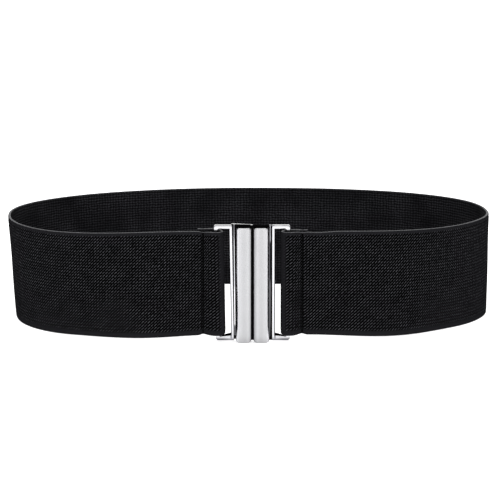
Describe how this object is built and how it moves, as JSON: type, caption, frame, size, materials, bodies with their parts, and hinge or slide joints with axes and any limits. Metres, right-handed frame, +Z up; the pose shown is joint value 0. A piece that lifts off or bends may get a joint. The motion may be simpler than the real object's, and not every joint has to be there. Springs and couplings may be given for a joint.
{
  "type": "elastic stretch belt",
  "caption": "Wide elastic webbing belt closed in a loop, its ends folded round the slot frames of a two-part interlocking hook buckle with upright polished bars.",
  "frame": {"origin": "middle of the belt's box at floor level, under the hollow where the waist goes", "axes": "+Z up along the height of the webbing, -Y towards the buckle, +X to the right as seen from the front, along the belt's longest side"},
  "size_m": [0.2804, 0.1534, 0.068],
  "materials": {
    "webbing": "black twill elastic webbing, matt with a slight sheen",
    "polished_metal": "bright nickel plate on cast zinc"
  },
  "bodies": {
    "root": {"elastic_band": "webbing", "buckle_half_left": "polished_metal", "buckle_half_right": "polished_metal"}
  },
  "joints": []
}
